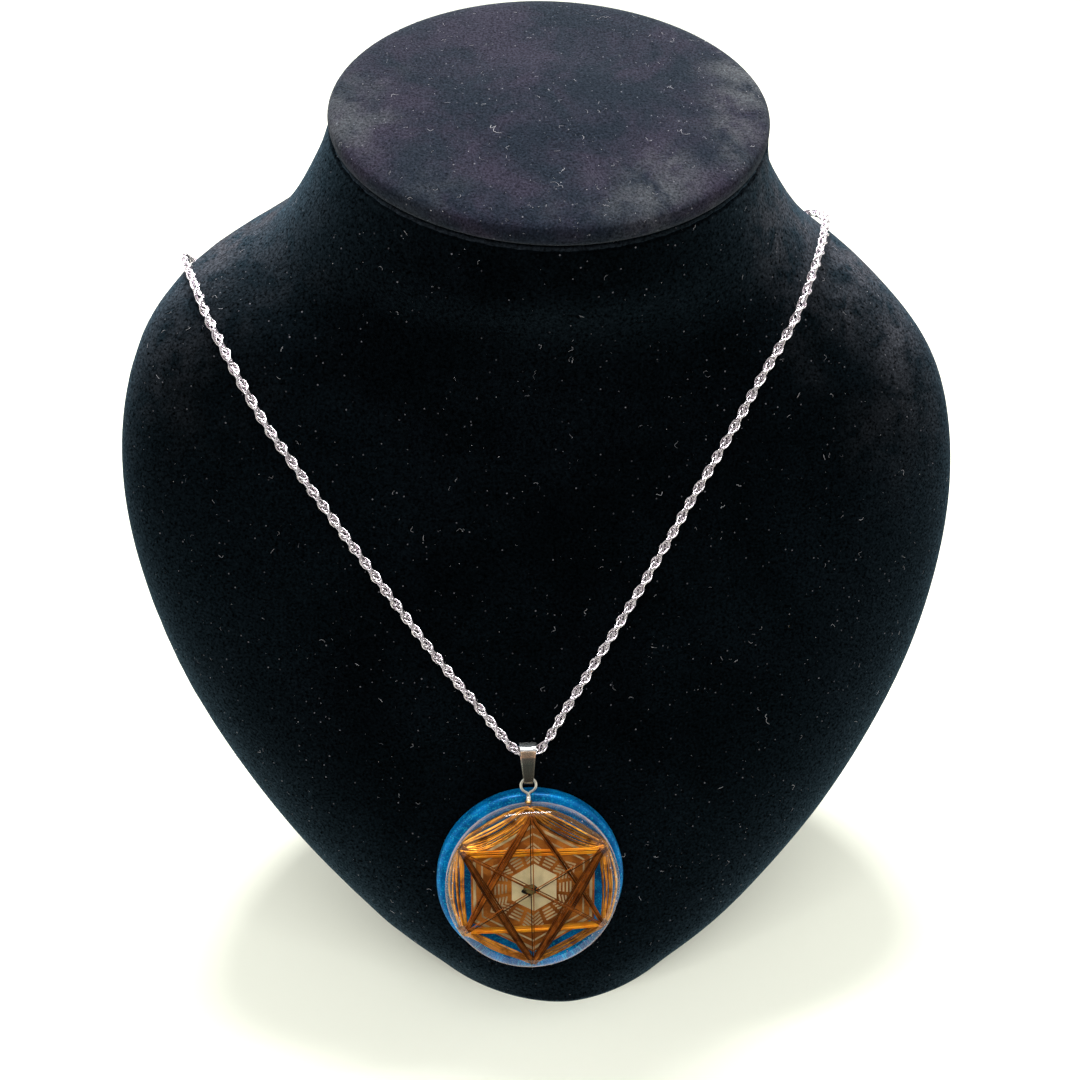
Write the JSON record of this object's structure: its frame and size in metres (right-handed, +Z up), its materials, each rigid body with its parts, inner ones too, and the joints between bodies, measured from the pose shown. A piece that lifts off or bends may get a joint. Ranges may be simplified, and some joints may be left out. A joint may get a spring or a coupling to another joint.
{
  "type": "resin and copper wire pendant necklace on a neck bust",
  "caption": "Round blue and clear resin pendant with copper windings over a six-sided plate, on a steel rope chain worn by a plain velvet neck bust.",
  "frame": {"origin": "middle of the part's box on the surface that the bust stands on", "axes": "+Z up from the base to the neck, -Y out of the chest towards the viewer, +X to the viewer's right"},
  "size_m": [0.2319, 0.1501, 0.2408],
  "materials": {
    "velvet": "matte",
    "cap_velvet": "matte",
    "chain_steel": "polished",
    "bail_steel": "satin",
    "blue_resin": "gloss",
    "clear_resin": "gloss",
    "plate": "satin",
    "copper": "satin",
    "bright_copper": "satin",
    "dark_copper": "satin",
    "stone": "matte"
  },
  "bodies": {
    "root": {"bust": "velvet", "neck_cap": "cap_velvet", "rope_chain": "chain_steel", "clasp": "chain_steel", "bail": "bail_steel", "eye_pin": "bail_steel", "resin_back": "blue_resin", "resin_front": "clear_resin", "pattern_plate": "plate", "winding_hexagon": "copper", "winding_row_top": "bright_copper", "winding_row_bottom": "bright_copper", "winding_peak": "dark_copper", "winding_valley": "dark_copper", "cross_wires": "dark_copper", "centre_stone": "stone"}
  },
  "joints": []
}
